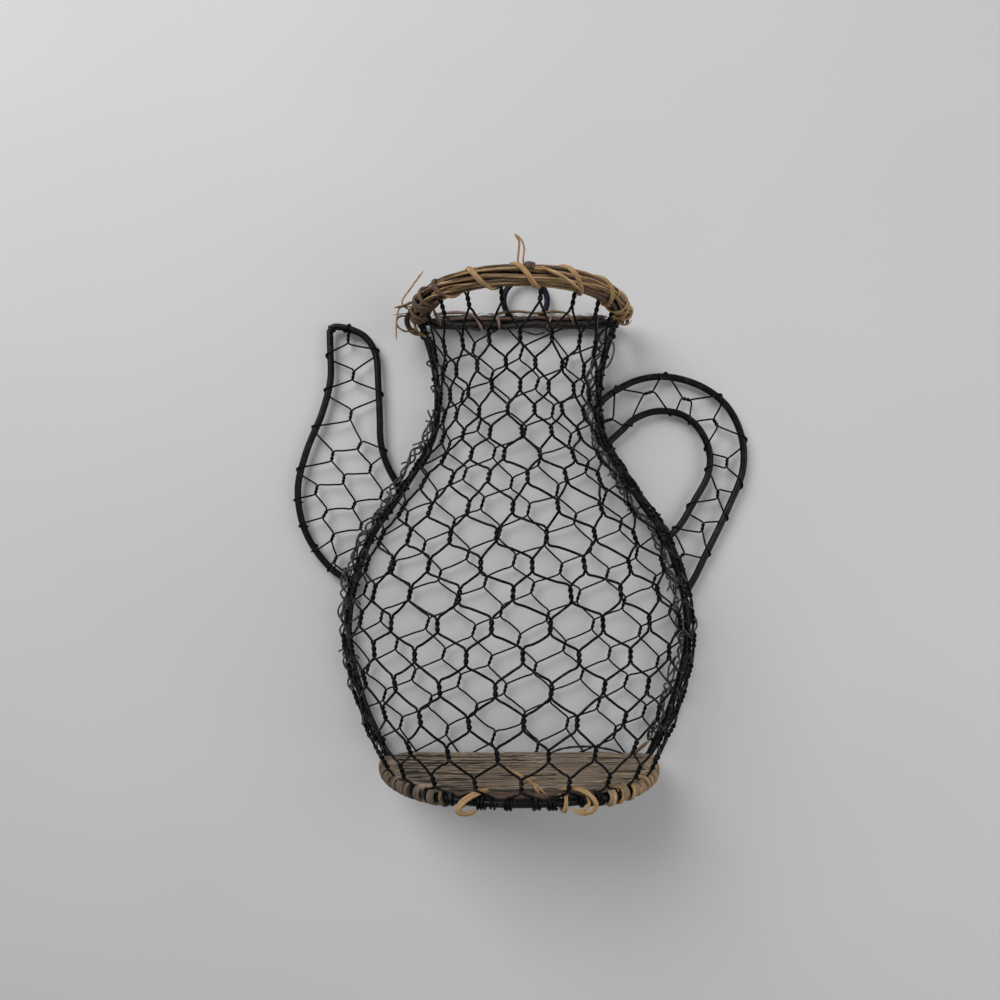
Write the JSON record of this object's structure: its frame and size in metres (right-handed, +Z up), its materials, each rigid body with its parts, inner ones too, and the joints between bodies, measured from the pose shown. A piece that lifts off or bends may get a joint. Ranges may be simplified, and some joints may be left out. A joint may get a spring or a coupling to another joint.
{
  "type": "wire hanging basket",
  "caption": "Half-round wall basket shaped like a pitcher: rod frame clad in hexagonal wire netting, with spout, handle, vine-wrapped rim, cord floor and hanging ring.",
  "frame": {"origin": "middle of the flat underside of the cord floor, on which the basket stands", "axes": "+Z up towards the rim, +Y towards the wall behind the flat back, +X towards the handle"},
  "size_m": [0.301, 0.1172, 0.3286],
  "materials": {
    "rod_steel": "satin black",
    "net_steel": "satin black, slightly dulled",
    "brown_vine": "dry brown bark",
    "golden_vine": "dry golden bark",
    "dark_vine": "dark weathered bark",
    "grey_cord": "dry grey-brown plant fibre"
  },
  "bodies": {
    "root": {"back_frame_left_rod": "rod_steel", "back_frame_right_rod": "rod_steel", "base_back_bar": "rod_steel", "rim_back_bar": "rod_steel", "base_hoop": "rod_steel", "rim_hoop": "rod_steel", "hanging_ring": "rod_steel", "spout_outer_rod": "rod_steel", "spout_inner_rod": "rod_steel", "handle_outer_rod": "rod_steel", "handle_inner_rod": "rod_steel", "front_net": "net_steel", "back_net": "net_steel", "spout_net": "net_steel", "handle_net": "net_steel", "floor_winding": "grey_cord", "rim_vine_1": "brown_vine", "rim_vine_2": "golden_vine", "rim_vine_3": "brown_vine", "rim_vine_4": "dark_vine", "rim_vine_5": "golden_vine", "rim_vine_6": "brown_vine", "rim_binding_vine": "golden_vine", "rim_back_vine_1": "golden_vine", "rim_back_vine_2": "dark_vine", "rim_back_vine_3": "dark_vine", "rim_back_vine_4": "dark_vine", "base_vine_loop_1": "golden_vine", "base_vine_loop_2": "golden_vine", "base_vine_loop_3": "golden_vine", "base_tie_wire_1": "net_steel", "base_tie_wire_2": "net_steel", "base_tie_wire_3": "net_steel", "base_tie_wire_4": "net_steel", "base_tie_wire_5": "net_steel", "rim_top_twig": "golden_vine", "rim_left_tendril_1": "brown_vine", "rim_left_tendril_2": "brown_vine", "floor_twig": "golden_vine"}
  },
  "joints": []
}
